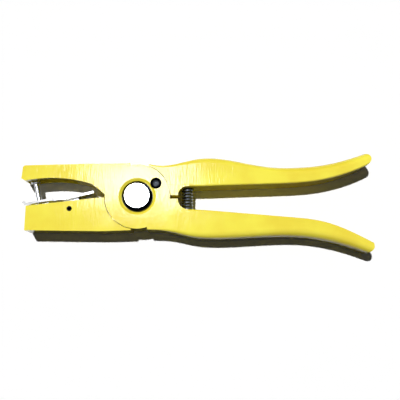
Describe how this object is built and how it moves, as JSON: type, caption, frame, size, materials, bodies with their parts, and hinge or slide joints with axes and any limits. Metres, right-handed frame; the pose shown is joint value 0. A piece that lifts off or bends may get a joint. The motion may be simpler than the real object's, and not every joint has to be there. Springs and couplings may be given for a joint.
{
  "type": "ear tag applicator",
  "caption": "Plier-type ear tag applicator: crossed cast levers, applicator pin, sprung tag clip, handle spring and lock button.",
  "frame": {"origin": "on the pivot axis, at the back face on which the tool lies", "axes": "+X along the handles away from the jaws, +Y towards the upper handle and upper jaw, +Z along the pivot axis towards the bolt's head"},
  "size_m": [0.2587, 0.0741, 0.023],
  "materials": {
    "yellow_paint": "glossy yellow enamel on cast aluminium",
    "bright_chrome": "polished chromium plate on steel",
    "bush_steel": "turned steel",
    "plated_steel": "zinc plated steel",
    "dark_spring_steel": "blued spring steel",
    "plated_spring_steel": "plated spring wire",
    "clip_steel": "bright stamped spring steel"
  },
  "bodies": {
    "rear": {"rear_lever": "yellow_paint", "rear_bush": "bush_steel", "pivot_bolt": "bright_chrome", "pivot_nut": "plated_steel", "pivot_washer": "plated_steel", "clip_pivot_pin": "dark_spring_steel", "clip_spring": "plated_spring_steel", "handle_spring": "dark_spring_steel"},
    "front": {"front_lever": "yellow_paint", "front_bush": "bush_steel", "applicator_pin": "bright_chrome", "pin_locknut": "plated_steel", "pin_washer": "plated_steel", "lock_ring": "plated_steel", "lock_spring": "plated_spring_steel"},
    "clip": {"tag_clip": "clip_steel"},
    "button": {"lock_button": "bright_chrome"}
  },
  "joints": [
    {"name": "main_pivot", "type": "hinge", "parent": "rear", "child": "front", "pos_m": [0, 0, 0.01], "axis": [0, 0, 1], "range_deg": [-26, 4.5], "deforming": ["handle_spring"]},
    {"name": "clip_rock", "type": "hinge", "parent": "rear", "child": "clip", "pos_m": [-0.0493, -0.0098, 0.01], "axis": [0, 0, 1], "range_deg": [-8, 0], "stiffness_Nm_per_rad": 0.2, "springref_deg": 8.59, "deforming": ["clip_spring"]},
    {"name": "lock_slide", "type": "slide", "parent": "front", "child": "button", "axis": [0, 0, 1], "range_m": [0, 0.0026], "deforming": ["lock_spring"]}
  ]
}
